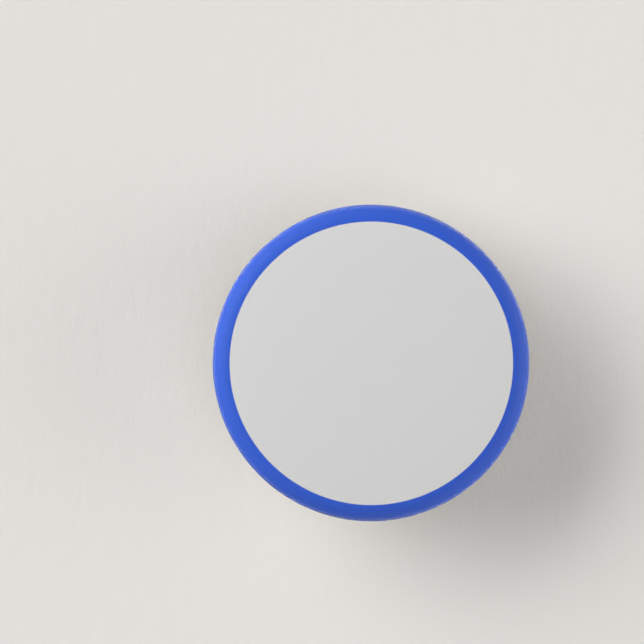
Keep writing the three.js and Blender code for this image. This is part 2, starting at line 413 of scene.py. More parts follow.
class DrawnGrain(Effect):
    """Fine short lines that rolling or drawing leaves in metal, along one direction."""

    name = "Drawn grain"
    setting = "Stretch"
    kind = "Vector"
    outputs = ("Lines", "Streaks", "Flecks")
    line_scale = 9.0
    streak_scale = 2.2
    fleck_scale = 7.0
    fleck_shift = (17.0, 5.0, 9.0)
    span = (0.3, 0.7)
    fleck_span = (0.52, 0.7)

    def wire(self, nodes: Wiring, place: Socket, setting: Socket) -> Sequence[Socket]:
        """Noises over the stretched place: fine lines, broader streaks, and short bright flecks."""
        drawn = nodes.vector("MULTIPLY", place, setting)
        lines = nodes.noise(drawn, self.line_scale, detail=3.0, roughness=0.6)
        streaks = nodes.noise(drawn, self.streak_scale, detail=3.0)
        flecks = nodes.noise(nodes.vector("ADD", drawn, self.fleck_shift), self.fleck_scale, detail=1.0)
        return [
            nodes.ramp(lines, *self.span),
            nodes.ramp(streaks, *self.span),
            nodes.ramp(flecks, *self.fleck_span),
        ]


class HandlingMarks(Effect):
    """Faint smudges from handling."""

    name = "Handling marks"
    setting = "Size"
    outputs = ("Smudge",)
    span = (0.38, 0.72)

    def wire(self, nodes: Wiring, place: Socket, setting: Socket) -> Sequence[Socket]:
        """A cloudy noise at the size given."""
        pitch = nodes.math("DIVIDE", 1.0, setting)
        cloud = nodes.noise(nodes.scaled(place, pitch), 1.0, detail=5.0, roughness=0.6)
        return [nodes.ramp(cloud, *self.span)]


class CrimpCreases(Effect):
    """Radial creases of a sheet that is gathered round the badge's edge."""

    name = "Crimp creases"
    setting = "Count"
    outputs = ("Folded", "Gathered")
    span = (0.3, 0.7)
    inward_radii = (15.95, 15.3)
    back_heights = (-1.4, -0.6)

    def wire(self, nodes: Wiring, place: Socket, setting: Socket) -> Sequence[Socket]:
        """Noise over the direction from the axis, in a mask that grows over the rolled edge."""
        way = nodes.vector("NORMALIZE", nodes.flat(place))
        creases = nodes.noise(nodes.scaled(way, setting), 1.0, detail=3.0, roughness=0.6)
        inward = nodes.ramp(nodes.radius(place), *self.inward_radii)
        gathered = nodes.math("MULTIPLY", inward, nodes.ramp(nodes.height(place), *self.back_heights))
        return [nodes.math("MULTIPLY", nodes.ramp(creases, *self.span), gathered), gathered]


@dataclass(frozen=True)
class Finish(ABC):
    """The look of one material. A relief is the depth in millimetres and the strength of a bump."""

    name: str

    @abstractmethod
    def shade(self, nodes: Wiring) -> Socket:
        """Adds the finish's nodes and gives the shader that they end in."""

    def material(self) -> bpy.types.Material:
        """Makes the material."""
        material = bpy.data.materials.new(self.name)
        nodes = Wiring.emptied(material)
        nodes.put("OutputMaterial", {"Surface": self.shade(nodes)})
        return material


@dataclass(frozen=True)
class Metal(Finish):
    """Metal with a fine grain that runs along its marked place, or else straight up the badge."""

    light: Colour = (0.78, 0.77, 0.75)
    dark: Colour = (0.56, 0.56, 0.555)
    roughness: Pair = (0.1, 0.2)
    line_share: float = 0.7
    streak_share: float = 0.2
    fleck_share: float = 0.55
    smudge_share: float = 0.5
    smudge_size: float = 5.0
    grain: Vector = (1.0, 1.0, 0.14)
    grain_relief: Pair = (0.005, 0.5)
    mark: str = ""

    def shade(self, nodes: Wiring) -> Socket:
        """Grain in colour, roughness and height, with smudges over it."""
        place = nodes.place()
        along = nodes.put("Attribute", attribute_name=self.mark).outputs["Vector"] if self.mark else place
        lines, streaks, flecks = DrawnGrain().put(nodes, along, self.grain)
        tone = nodes.math("MULTIPLY", streaks, self.streak_share)
        tone = nodes.math("MULTIPLY_ADD", lines, self.line_share, tone)
        tone = nodes.math("MULTIPLY_ADD", flecks, self.fleck_share, tone)
        haze = nodes.math("MULTIPLY", tone, 1.0 - self.smudge_share)
        smudge = HandlingMarks().put(nodes, place, self.smudge_size)["Smudge"]
        haze = nodes.math("MULTIPLY_ADD", smudge, self.smudge_share, haze)
        return nodes.shader({
            "Base Color": nodes.colours(tone, self.dark, self.light),
            "Metallic": 1.0,
            "Roughness": nodes.spread(haze, *self.roughness),
            "Normal": nodes.bump(lines, *self.grain_relief),
        })


@dataclass(frozen=True)
class PrintedPaper(Finish):
    """Printed paper: a bare grey face, a blue border over the edge, and white paper behind it."""

    border_radius: float
    wrap_depth: float
    face: Colour = (0.636, 0.636, 0.637)
    border: Colour = (0.028, 0.098, 0.560)
    wrap: Colour = (0.90, 0.895, 0.88)
    stain: Colour = (0.85, 0.81, 0.61)
    ink_edge: float = 0.02
    ink_scale: float = 12.0
    fibre: float = 0.03
    fibre_scale: float = 7.0
    fibre_relief: Pair = (0.004, 0.25)
    stain_scale: float = 1.1
    stain_span: Pair = (0.58, 0.72)
    crease_count: float = 60.0
    # How much the creases darken the paper's colour: painted shade in the folds.
    crease_painted_shade: float = -0.14
    crease_relief: Pair = (0.03, 0.6)
    roughness: Pair = (0.62, 0.8)
    specular: float = 0.13

    def shade(self, nodes: Wiring) -> Socket:
        """The print by radius and depth, with the paper's fibres in all of it, and painted shade along the
        creases.
        """
        place = nodes.place()
        uneven = nodes.noise(place, self.ink_scale)
        ragged = nodes.math("MULTIPLY_ADD", uneven, self.ink_edge, nodes.radius(place))
        start, low = self.border_radius - self.ink_edge, -self.wrap_depth - self.ink_edge
        ring = nodes.ramp(ragged, start, start + 2 * self.ink_edge)
        behind = nodes.ramp(nodes.height(place), low, low + 2 * self.ink_edge)
        folded, gathered = CrimpCreases().put(nodes, place, self.crease_count)
        cloud = nodes.noise(place, self.stain_scale, detail=4.0, roughness=0.65)
        stained = nodes.math("MULTIPLY", nodes.ramp(cloud, *self.stain_span), gathered)
        printed = nodes.colours(ring, self.face, self.border)
        paper = nodes.colours(behind, printed, nodes.colours(stained, self.wrap, self.stain))
        fibres = nodes.noise(place, self.fibre_scale, detail=4.0, roughness=0.7)
        shade = nodes.spread(fibres, 1.0 - self.fibre, 1.0 + self.fibre)
        # The creases darken the colour: painted shade along the folds, added to the fibres' real tone.
        shade = nodes.math("MULTIPLY_ADD", folded, self.crease_painted_shade, shade)
        grey = nodes.put("CombineXYZ", {0: shade, 1: shade, 2: shade}).outputs[0]
        return nodes.shader({
            "Base Color": nodes.colours(1.0, paper, grey, "MULTIPLY"),
            "Roughness": nodes.spread(fibres, *self.roughness),
            "Specular IOR Level": self.specular,
            "Normal": nodes.bump(folded, *self.crease_relief, nodes.bump(fibres, *self.fibre_relief)),
        })


@dataclass(frozen=True)
class ClearFilm(Finish):
    """Clear film with a dull, non-reflecting finish, and creases where it is gathered.

    Between the two clear slants, which are 1 less the cosine of the angle of view, its sheen fades out,
    so that its outline has no pale line.
    """

    clear_slants: Pair = (0.45, 0.85)
    roughness: Pair = (0.46, 0.54)
    ior: float = 1.08
    tint: Colour = (1.0, 1.0, 0.995)
    smudge_size: float = 7.0
    crease_count: float = 60.0
    crease_relief: Pair = (0.03, 0.5)

    def shade(self, nodes: Wiring) -> Socket:
        """Thin glass that lets the lamps reach the print beneath it."""
        place = nodes.place()
        smudge = HandlingMarks().put(nodes, place, self.smudge_size)["Smudge"]
        folded = CrimpCreases().put(nodes, place, self.crease_count)["Folded"]
        film = nodes.shader({
            "Base Color": self.tint,
            "Roughness": nodes.spread(smudge, *self.roughness),
            "IOR": self.ior,
            "Transmission Weight": 1.0,
            "Normal": nodes.bump(folded, *self.crease_relief),
        })
        rays = nodes.put("LightPath").outputs
        lit = nodes.math("MAXIMUM", rays["Is Shadow Ray"], rays["Is Diffuse Ray"])
        slant = nodes.ramp(nodes.put("LayerWeight").outputs["Facing"], *self.clear_slants)
        return nodes.opened(nodes.math("MAXIMUM", lit, slant), film)


@dataclass(frozen=True)
class BackdropPaper(Finish):
    """Felt-marked paper, seen from its front only, and open under the badge to what is near it."""

    opening_radius: float
    near: float = 20.0
    most_bounces: float = 1.5
    colour: Colour = (0.78, 0.755, 0.725)
    roughness: float = 0.9
    specular: float = 0.1
    felt: Vector = (1.0, 1.0, 0.6)
    felt_scale: float = 0.9
    felt_relief: Pair = (0.25, 0.25)

    def shade(self, nodes: Wiring) -> Socket:
        """Dull paper that short rays of no more than one bounce pass through, inside the opening."""
        place = nodes.place()
        stretched = nodes.vector("MULTIPLY", place, self.felt)
        felt = nodes.noise(stretched, self.felt_scale, detail=4.0, roughness=0.6)
        paper = nodes.shader({
            "Base Color": self.colour,
            "Roughness": self.roughness,
            "Specular IOR Level": self.specular,
            "Normal": nodes.bump(felt, *self.felt_relief),
        })
        rays = nodes.put("LightPath").outputs
        close = nodes.math("LESS_THAN", rays["Ray Length"], self.near * MM)
        bounces = nodes.math("ADD", rays["Diffuse Depth"], rays["Is Shadow Ray"])
        straight = nodes.math("LESS_THAN", bounces, self.most_bounces)
        under = nodes.math("LESS_THAN", nodes.radius(place), self.opening_radius)
        passing = nodes.math("MULTIPLY", nodes.math("MULTIPLY", close, straight), under)
        behind = nodes.put("NewGeometry").outputs["Backfacing"]
        return nodes.opened(nodes.math("MAXIMUM", passing, behind), paper)


# The badge


def dress(piece: Object, material: bpy.types.Material, slot: Slot, *nodes: str) -> None:
    """Gives a piece its finish and hides the CAD nodes that it stands for."""
    piece.data.materials.append(material)
    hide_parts(*nodes)


@dataclass(frozen=True)
class Layer:
    """A sheet wrapped over the front: its tuck past the rolled edge, its columns and its folds."""

    name: str
    node: str
    slot: Slot
    gauge: float
    tuck: float
    columns: int
    fold_share: float


@dataclass
class WrappedFront:
    """The clear film, the printed paper and the tin shell, all rolled in behind the edge."""

    diameter: float
    face_depth: float
    crown_radius: float = 175.0
    edge_radius: float = 2.0
    skirt_lean: float = 0.06
    skirt_draft: float = math.radians(2.0)
    curl_radius: float = 0.47
    rim_step: float = 0.1
    border_radius: float = 14.18
    border_overrun: float = 0.1
    layer_gap: float = 0.015
    fold_height: float = 0.1
    fold_start_share: float = 1.6
    fold_run_share: float = 1.3
    fold_ways: tuple[float, ...] = (0.0, 0.5, 0.85, 1.0)
    fold_shares: tuple[float, ...] = (0.9, 1.7, 1.0, 0.8)
    fold_count: int = 170
    fold_widths: Pair = (0.004, 0.014)
    fold_sizes: Pair = (0.25, 1.0)
    fold_seed: int = 11
    layers: tuple[Layer, ...] = (
        Layer("wrapped_film", "clear_film", Slot.FILM, 0.05, 0.9, 1320, 1.0),
        Layer("wrapped_paper", "printed_paper", Slot.PAPER, 0.1, 0.75, 1320, 0.7),
        Layer("tin_shell", "front_shell", Slot.SHELL, 0.22, 0.45, 240, 0.0),
    )

    def __post_init__(self) -> None:
        """Works out the outer radius, the depth at the widest line, and where the rolled edge lies."""
        self.radius = self.diameter / 2
        self.girth_depth = self.rim_step + self.skirt_lean / math.tan(self.skirt_draft)
        self.curl_foot_radius = self.radius - self.skirt_lean
        turn = math.tan((QUARTER + self.skirt_draft) / 2)
        self.curl_inner_radius = self.curl_foot_radius - self.curl_radius * (turn + 1.0)

    def outside(self, tuck: float) -> Line:
        """The outside of the wrap as a profile.

        The dome is an arc of the crown radius and the edge an arc of the edge radius that touches it.
        Both corners lie on the tangent that the two arcs share. The skirt, the rolled edge and the
        straight tuck follow.

        Args:
            tuck: how far the sheet goes on past the rolled edge.

        Returns:
            The profile's points and the unit way out of the wrap at each.
        """
        slope = math.asin((self.radius - self.edge_radius) / (self.crown_radius - self.edge_radius))
        dome_corner = self.crown_radius * math.tan(slope / 2)
        edge_depth = self.face_depth - (self.radius - dome_corner) * math.tan(slope)
        inside = self.curl_inner_radius
        path, way = rounded_path([
            Corner((0.0, -self.face_depth)),
            Corner((dome_corner, -self.face_depth), self.crown_radius, 5),
            Corner((self.radius, -edge_depth), self.edge_radius, 11),
            Corner((self.radius, -self.girth_depth)),
            Corner((self.curl_foot_radius, -self.rim_step), self.curl_radius, 5),
            Corner((inside, -self.rim_step), self.curl_radius, 8),
            Corner((inside, -self.rim_step - self.curl_radius - tuck)),
        ])
        return path, right_of(way)

    def folds(self, angles: Array) -> Array:
        """Small folds at random places round a circle.

        The height is the sum over the folds of h exp(-(d / w)^2), where d is the angle to the fold, w its
        width and h its size, cut off at 1.

        Args:
            angles: where the height is wanted, in radians.

        Returns:
            The height at each angle, from 0 to 1.
        """
        random = np.random.default_rng(self.fold_seed)
        middles = random.uniform(0.0, math.tau, self.fold_count)[:, None]
        width = random.uniform(*self.fold_widths, self.fold_count)[:, None]
        size = random.uniform(*self.fold_sizes, self.fold_count)[:, None]
        away = np.angle(np.exp(1j * (angles[None, :] - middles)))
        return np.minimum((size * np.exp(-((away / width) ** 2))).sum(axis=0), 1.0)

    def build(self, layer: Layer, under: float) -> Object:
        """Makes one sheet: both its faces turned round the axis, with folds past the rolled edge.

        A fold lifts the sheet by the fold height times its share. It starts on the rolled edge, at the
        start share of the curl's radius outside the curl's inside, and grows over the run share of that
        radius. The fold shares then hold where the way out of the sheet has the parts along Y that the
        fold ways give, from the straight tuck, over the edge's inner bend, to the top of the edge.

        Args:
            layer: which sheet.
            under: how far its upper face lies under the outside of the wrap.

        Returns:
            The piece.
        """
        path, outward = self.outside(layer.tuck)
        angles = np.linspace(0.0, math.tau, layer.columns + 1)
        folds = self.folds(angles)
        folds[-1] = folds[0]
        start = self.curl_inner_radius + self.fold_start_share * self.curl_radius
        past_edge = np.clip((start - path[:, 0]) / (self.fold_run_share * self.curl_radius), 0.0, 1.0)
        past_edge *= path[:, 1] > -self.girth_depth
        past_edge *= np.interp(outward[:, 1], self.fold_ways, self.fold_shares)
        lift = layer.fold_share * self.fold_height * np.outer(past_edge, folds)
        way_out = turned(outward, angles)
        surface = Surface()
        surface.sheet(*(
            turned(path - outward * depth, angles) + lift[..., None] * way_out
            for depth in (under, under + layer.gauge)
        ))
        return surface.piece(layer.name)

    def finish(self, slot: Slot) -> Finish:
        """The finish that a sheet's slot stands for."""
        if slot is Slot.PAPER:
            return PrintedPaper("Printed paper", self.border_radius, self.girth_depth + self.border_overrun)
        if slot is Slot.FILM:
            return ClearFilm("Clear film")
        # The shell's tinplate is coloured far darker than the plate's: painted shade for the shell's inside
        # where it shows through the holes.
        return Metal(
            "Front tinplate in painted shade", light=(0.38, 0.36, 0.345), dark=(0.33, 0.315, 0.305),
            roughness=(0.34, 0.44), grain_relief=(0.001, 0.5),
        )

    def make(self) -> None:
        """Makes and dresses the sheets, each one under the one before it."""
        under = 0.0
        for layer in self.layers:
            piece = self.build(layer, under)
            dress(piece, self.finish(layer.slot).material(), layer.slot, layer.node)
            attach(piece, Body.BADGE.value)
            under += layer.gauge + self.layer_gap


@dataclass
class StampedBack:
    """The back plate: a raised disc, a sloping land, a wall, a bead and a flange, with two holes."""

    front: WrappedFront
    disc_depth: float
    gauge: float = 0.22
    crimp_gap: float = 0.06
    lip_gap: float = 0.1
    lip_reach: float = 0.36
    lip_drop: float = 0.06
    bead_width: float = 0.88
    bead_run: float = 0.17
    bead_slope: float = 0.24
    bead_roll: float = 0.15
    bead_edge: float = 0.16
    valley_depth: float = 0.42
    valley_bend: float = 0.06
    crest_inset: float = 0.53
    crest_depth: float = 0.1
    crest_bend: float = 0.2
    wall_run: float = 0.6
    wall_bend: float = 0.25
    land_width: float = 2.48
    land_rise: float = 0.55
    land_bend: float = 0.1
    step_run: float = 0.31
    land_drop: float = 0.35
    ridge_run: float = 0.37
    ridge_rise: float = 0.05
    ridge_bend: float = 0.3
    disc_bend: float = 0.25
    hole_length: float = 6.3
    hole_width: float = 3.3
    hole_inset: float = 0.655
    hole_roll: float = 0.09
    wave_height: float = 0.02
    wave_width: float = 1.1
    wave_count: int = 12
    first_wave: int = 2
    wave_seed: int = 5
    half_columns: int = 180
    end_rows: int = 15
    disc_rows: int = 6
    roll_rows: int = 6

    def __post_init__(self) -> None:
        """Works out the radii from the flange inwards, and where the holes' round ends lie."""
        self.flange_radius = self.front.curl_inner_radius - self.crimp_gap
        self.wall_foot_radius = self.flange_radius - self.bead_width - self.crest_inset - self.wall_run
        self.land_foot_radius = self.wall_foot_radius - self.land_width
        self.disc_radius = self.land_foot_radius - self.step_run - self.ridge_run
        self.hole_centre = self.disc_radius - self.hole_inset
        self.hole_radius = self.hole_width / 2 + self.hole_roll
        run = (self.hole_length - self.hole_width) / 2
        self.hole_ends = (self.hole_centre - run, self.hole_centre + run)

    def back_face(self) -> Line:
        """The face that shows, from the axis out to the lip, and the unit way along it."""
        flange = self.flange_radius
        valley = flange - self.bead_width
        crest = valley - self.crest_inset
        foot = self.land_foot_radius
        foot_depth = self.disc_depth + self.land_drop
        lip_depth = self.front.rim_step + self.front.curl_radius + self.front.layers[0].tuck + self.lip_gap
        return rounded_path([
            Corner((0.0, -self.disc_depth)),
            Corner((self.disc_radius, -self.disc_depth), self.disc_bend, 5),
            Corner((foot - self.step_run, -self.disc_depth + self.ridge_rise), self.ridge_bend, 9),
            Corner((foot, -foot_depth), self.land_bend, 6),
            Corner((self.wall_foot_radius, -foot_depth + self.land_rise), self.wall_bend, 8),
            Corner((crest, -self.crest_depth), self.crest_bend, 14),
            Corner((valley, -self.valley_depth), self.valley_bend, 5),
            Corner((valley + self.bead_run, 0.0), self.bead_roll, 12),
            Corner((flange, -self.bead_slope), self.bead_edge, 8),
            Corner((flange, -lip_depth), self.wall_bend, 4),
            Corner((flange + self.lip_reach, -lip_depth - self.lip_drop)),
        ])

    def rows(self) -> tuple[Array, Array]:
        """The plate's two faces as profiles with rows at the same places.

        Rows are added where the round ends of the holes need them: at the distance from the axis of
        points that stand at even angles round each end. Inside the wall the under face lies straight
        under the back face, by the gauge over the cosine of the slope, so that a hole has one outline
        on both. Outside it lies the gauge away along the way out of the face.

        Returns:
            The back face and the under face.
        """
        path, way = self.back_face()
        inner, outer = self.hole_ends
        turns = np.linspace(0.0, QUARTER, self.end_rows)
        run, rise = self.hole_radius * np.cos(turns), self.hole_radius * np.sin(turns)
        ends = np.concatenate([np.hypot(inner - run, rise), np.hypot(outer + run, rise)])
        plain = np.linspace(0.0, inner - self.hole_radius, self.disc_rows)[1:-1]
        inside = path[:, 0] < self.wall_foot_radius - self.wall_bend
        radii = np.unique(np.round(np.concatenate([path[inside, 0], ends, plain]), ROW_DIGITS))
        heights = np.interp(radii, path[:, 0], path[:, 1])
        slopes = np.interp(radii, path[inside, 0], way[inside, 1] / way[inside, 0])
        back = np.stack([radii, heights], axis=1)
        under = np.stack([radii, heights - self.gauge * np.hypot(1.0, slopes)], axis=1)
        outside = path[~inside]
        outside_under = outside + self.gauge * right_of(way[~inside])
        return np.concatenate([back, outside]), np.concatenate([under, outside_under])

    def hole_angles(self, radii: Array) -> Array:
        """Half the angle that a hole takes up on the circle of each radius.

        A circle of radius r round the axis meets an end circle of radius a and centre c at
        x = (r^2 + c^2 - a^2) / 2c, and a straight side at height a, where x = sqrt(r^2 - a^2). The half
        angle is acos(x / r), and nought outside the hole.

        Args:
            radii: the circles' radii.

        Returns:
            The half angles, in radians.
        """
        a = self.hole_radius
        inner, outer = self.hole_ends
        r = np.maximum(radii, WELD)
        x_inner = (r**2 + inner**2 - a**2) / (2 * inner)
        x_outer = (r**2 + outer**2 - a**2) / (2 * outer)
        x_side = np.sqrt(np.maximum(r**2 - a**2, 0.0))
        x = np.where(r > math.hypot(outer, a), x_outer, x_side)
        x = np.where(r < math.hypot(inner, a), x_inner, x)
        within = (r > inner - a) & (r < outer + a)
        return np.where(within, np.arccos(np.clip(x / r, -1.0, 1.0)), 0.0)

    def unevenness(self, radii: Array, angles: Array) -> Array:
        """How far the press has left the plate from its ideal height.

        The height is the wave height times a sum of cosines of whole multiples of the angle, and it
        fades out as exp(-((r - r0) / w)^2) on both sides of the foot of the wall.

        Args:
            radii: the rows' radii, as a column.
            angles: the angles of the points, row by row.

        Returns:
            The height at each point.
        """
        random = np.random.default_rng(self.wave_seed)
        orders = np.arange(self.first_wave, self.first_wave + self.wave_count)[:, None, None]
        phases = random.uniform(0.0, math.tau, self.wave_count)[:, None, None]
        waves = np.cos(orders * angles + phases).sum(axis=0) / math.sqrt(self.wave_count)
        away = (radii - self.wall_foot_radius) / self.wave_width
        return self.wave_height * np.exp(-(away**2)) * waves

    def hole_wall(self, top: Array, bottom: Array, side: float) -> Array:
        """The wall of a hole between the outlines of the two faces.

        From each face the wall first turns in by a quarter circle of the roll radius q: at an angle t
        the point lies q sin(t) nearer the hole's middle line and q (1 - cos(t)) below the face.

        Args:
            top: the outline on the back face.
            bottom: the outline on the under face.
            side: 1 for the hole at +X, -1 for the other.

        Returns:
            A grid of points, outline by depth.
        """
        inner, outer = self.hole_ends
        spine = top * (1.0, 0.0, 0.0)
        spine[:, 0] = side * np.clip(side * spine[:, 0], inner, outer)
        outward = unit((top - spine) * (1.0, 0.0, 1.0))
        turns = np.linspace(0.0, QUARTER, self.roll_rows)
        inset = self.hole_roll * np.sin(turns)
        drop = np.minimum(self.hole_roll, self.gauge / 2) * (1.0 - np.cos(turns))
        down = np.array([0.0, -1.0, 0.0])
        rolled = [top - outward * i + down * d for i, d in zip(inset, drop)]
        rising = [bottom - outward * i - down * d for i, d in zip(inset[::-1], drop[::-1])]
        return np.stack([*rolled, *rising], axis=1)

    def build(self) -> Object:
        """Makes the plate as two halves, above and below the holes' middle line.

        In each half the angles of a row run evenly from the edge of one hole to the edge of the other.

        Returns:
            The piece.
        """
        back, under = self.rows()
        half_angle = self.hole_angles(back[:, 0])
        shares = np.linspace(0.0, 1.0, self.half_columns + 1)
        angles = half_angle[:, None] + shares * (math.pi - 2 * half_angle[:, None])
        holed = np.flatnonzero(half_angle > 0)
        span = slice(holed[0] - 1, holed[-1] + 2)
        surface = Surface()
        for way in (1.0, -1.0):
            top, bottom = turned(back, way * angles), turned(under, way * angles)
            wave = self.unevenness(back[:, :1], way * angles)
            top[..., 1] += wave
            bottom[..., 1] += wave
            surface.sheet(top, bottom)
            surface.add(self.hole_wall(top[span, 0], bottom[span, 0], 1.0))
            surface.add(self.hole_wall(top[span, -1], bottom[span, -1], -1.0))
        return surface.piece("stamped_back")

    def make(self) -> None:
        """Makes and dresses the plate."""
        piece = self.build()
        dress(piece, Metal("Plate tinplate").material(), Slot.PLATE, "back_plate")
        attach(piece, Body.BADGE.value)


@dataclass
class SpringWire:
    """One wire, bent into a ring, a hook, a knee and a sharp arm. The arm springs from the knee."""

    back: StampedBack
    diameter: float = 0.8
    hook_sink: float = 0.08
    hook_gap: float = 0.3
    arm_drop: float = 0.7
    hook_spacing: float = 3.68
    hook_inset: float = 0.41
    hook_rise: float = 0.52
    hook_end: float = 3.47
    hook_droop: float = 0.15
    hook_bend: float = 0.6
    hook_tail: float = 0.3
    knee_offset: float = 2.2
    knee_bend: float = 0.8
    knee_foot_bend: float = 0.5
    knee_stub: float = 0.4
    knee_gap: float = 0.3
    ring_drop: float = 1.6
    hidden_run: float = 2.0
    ring_room: float = 0.15
    tip_reach: float = 0.27
    tip_taper: float = 1.1
    tip_fullness: float = 1.5
    cut_edge: float = 0.07
    sides: int = 32
    longest_step: float = 0.08
    end_steps: int = 13
    cut_face: float = 0.8
    flex_reach: float = 0.8
    mark: str = "wire_place"

    def __post_init__(self) -> None:
        """Works out the depths of the middle line, and where the wire's legs stand."""
        self.radius = self.diameter / 2
        self.hook_depth = self.hook_sink + self.radius
        self.arm_depth = self.hook_depth + self.diameter + self.hook_gap
        foot = self.back.disc_depth + self.back.land_drop
        self.ring_depth = foot + self.back.gauge + self.ring_room + self.radius
        self.hook_outer = self.back.hole_centre - self.hook_inset + self.hook_spacing / 2
        self.knee_x = -(self.back.hole_centre + self.knee_offset)
        self.ring_radius = (self.hook_outer - self.knee_x) / 2
        self.arm_root = self.knee_x + self.knee_bend + self.knee_stub + self.knee_gap + self.radius

    def tube(
        self, name: str, path: Array, way: Array, thickness: Callable[[Array, float], Array]
    ) -> Object:
        """Makes a round wire along a bent path.

        The section at each station is a circle in the plane square to the way along. Its first axis is
        a fixed slanted direction with its part along the way taken off, and its second is square to
        both. The ends are closed by a station of no thickness.

        Args:
            name: the piece's name.
            path: the points of the middle line.
            way: the unit way along at each of them.
            thickness: gives the share of the full radius from the distances along and the length.

        Returns:
            The piece, with its straightened place as an attribute.
        """
        steps = np.linalg.norm(np.diff(path, axis=0), axis=1)
        reach = np.concatenate([[0.0], np.cumsum(steps)])
        length = float(reach[-1])
        ends = self.tip_taper * (1.0 - np.cos(np.linspace(0.0, QUARTER, self.end_steps)))
        even = np.arange(0.0, length, self.longest_step)
        wanted = np.concatenate([reach, even, ends, length - ends])
        wanted = np.unique(np.round(wanted, STATION_DIGITS))
        stations = np.append(wanted[wanted < length - WELD], length)
        radius = self.radius * np.pad(thickness(stations, length), 1)
        stations = np.pad(stations, 1, "edge")
        middle, along = (
            np.stack([np.interp(stations, reach, line[:, k]) for k in range(3)], axis=1)
            for line in (path, way)
        )
        along = unit(along)
        slant = unit(np.ones(3))
        first = unit(slant - along * (along @ slant)[:, None])[:, None]
        second = np.cross(along, first[:, 0])[:, None]
        angles = np.linspace(0.0, math.tau, self.sides + 1)
        around = np.cos(angles)[:, None] * first + np.sin(angles)[:, None] * second
        grid = middle[:, None] + radius[:, None, None] * around
        rows = np.broadcast_to(stations[:, None], grid.shape[:2])
        turns = np.broadcast_to(angles, grid.shape[:2])
        surface = Surface()
        surface.add(grid, np.stack([rows, np.cos(turns), np.sin(turns)], axis=-1))
        return surface.piece(name, self.mark)

    def cut_end(self, stations: Array, length: float) -> Array:
        """Full thickness from the start, with the rounded edge of a cut at the far end."""
        near = np.clip((length - stations) / self.cut_edge, 0.0, 1.0)
        return self.cut_face + (1.0 - self.cut_face) * np.sqrt(1.0 - (1.0 - near) ** 2)

    def sharp_start(self, stations: Array, length: float) -> Array:
        """From the point, 1 - (1 - p)^k over the taper's share p, then full thickness."""
        share = np.clip(stations / self.tip_taper, 0.0, 1.0)
        return 1.0 - (1.0 - share) ** self.tip_fullness

    def middle_line(self) -> Line:
        """The middle line of the whole wire, from the sharp point to the hook's inner end."""
        ring_end = -self.ring_drop - self.ring_radius
        ring, arm, hook = -self.ring_depth, -self.arm_depth, -self.hook_depth
        outer, inner = self.hook_outer, self.hook_outer - self.hook_spacing
        half, droop = self.hook_spacing / 2, hook - self.hook_droop
        return rounded_path([
            Corner((outer + self.tip_reach, arm, -self.arm_drop)),
            Corner((self.knee_x, arm, -self.arm_drop), self.knee_bend, 16),
            Corner((self.knee_x, ring, -self.arm_drop), self.knee_foot_bend, 12),
            Corner((self.knee_x, ring, ring_end), self.ring_radius, 48),
            Corner((outer, ring, ring_end), self.ring_radius, 48),
            Corner((outer, ring, self.hook_rise), self.hook_bend, 14),
            Corner((outer, hook, self.hook_rise), self.hook_bend, 14),
            Corner((outer, droop, -self.hook_end), half, 28),
            Corner((inner, droop, -self.hook_end), half, 28),
            Corner((inner, hook, self.hook_rise), self.hook_bend, 14),
            Corner((inner, ring + self.hook_tail, self.hook_rise)),
        ])

    def build(self) -> tuple[Object, Object]:
        """Makes the wire in two meshes that meet where the plate hides them, on the ring's first bend.

        Returns:
            The sharp arm with its knee, and the ring with its hook.
        """
        path, way = self.middle_line()
        cut = int(np.flatnonzero(path[:, 2] < -self.ring_drop - self.hidden_run)[0])
        arm = self.tube("sprung_arm", path[:cut + 1], way[:cut + 1], self.sharp_start)
        ring = self.tube("ring_and_hook", path[cut:], way[cut:], self.cut_end)
        return arm, ring

    def make(self) -> None:
        """Makes and dresses both pieces."""
        material = Metal(
            "Spring wire", light=(0.82, 0.83, 0.84), dark=(0.62, 0.63, 0.64), roughness=(0.08, 0.2),
            line_share=1.0, streak_share=0.0, fleck_share=0.0, smudge_share=1.0, smudge_size=1.6,
            grain=(0.12, 1.0, 1.0), grain_relief=(0.002, 0.4), mark=self.mark,
        ).material()
        arm, ring = self.build()
        dress(ring, material, Slot.WIRE, "wire_frame")
        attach(ring, Body.BADGE.value)
        dress(arm, material, Slot.WIRE, "pin_arm")
        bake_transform(arm)


# The studio


@dataclass(frozen=True)
class SoftBox:
    """A soft light in the surround, with its angle as seen along the badge's axis, from +X towards +Z.

    The height is the angle over the plane of the rim, towards the face, or towards the back where it is
    negative. The light is full up to the core angle from its middle and fades out to the reach.
    """

    angle: float
    height: float
    core: float
    reach: float
    level: float
    tint: Colour = (1.0, 1.0, 1.0)

    @property
    def way(self) -> Vector:
        """The unit direction to the middle of the light."""
        angle, height = math.radians(self.angle), math.radians(self.height)
        return math.cos(height) * math.cos(angle), -math.sin(height), math.cos(height) * math.sin(angle)

    def light(self, nodes: Wiring, direction: Socket) -> Socket:
        """The colour that the light adds in a direction."""
        along = nodes.number("DOT_PRODUCT", direction, self.way)
        faded, full = (math.cos(math.radians(angle)) for angle in (self.reach, self.core))
        return nodes.scaled(self.tint, nodes.ramp(along, faded, full, 0.0, self.level))


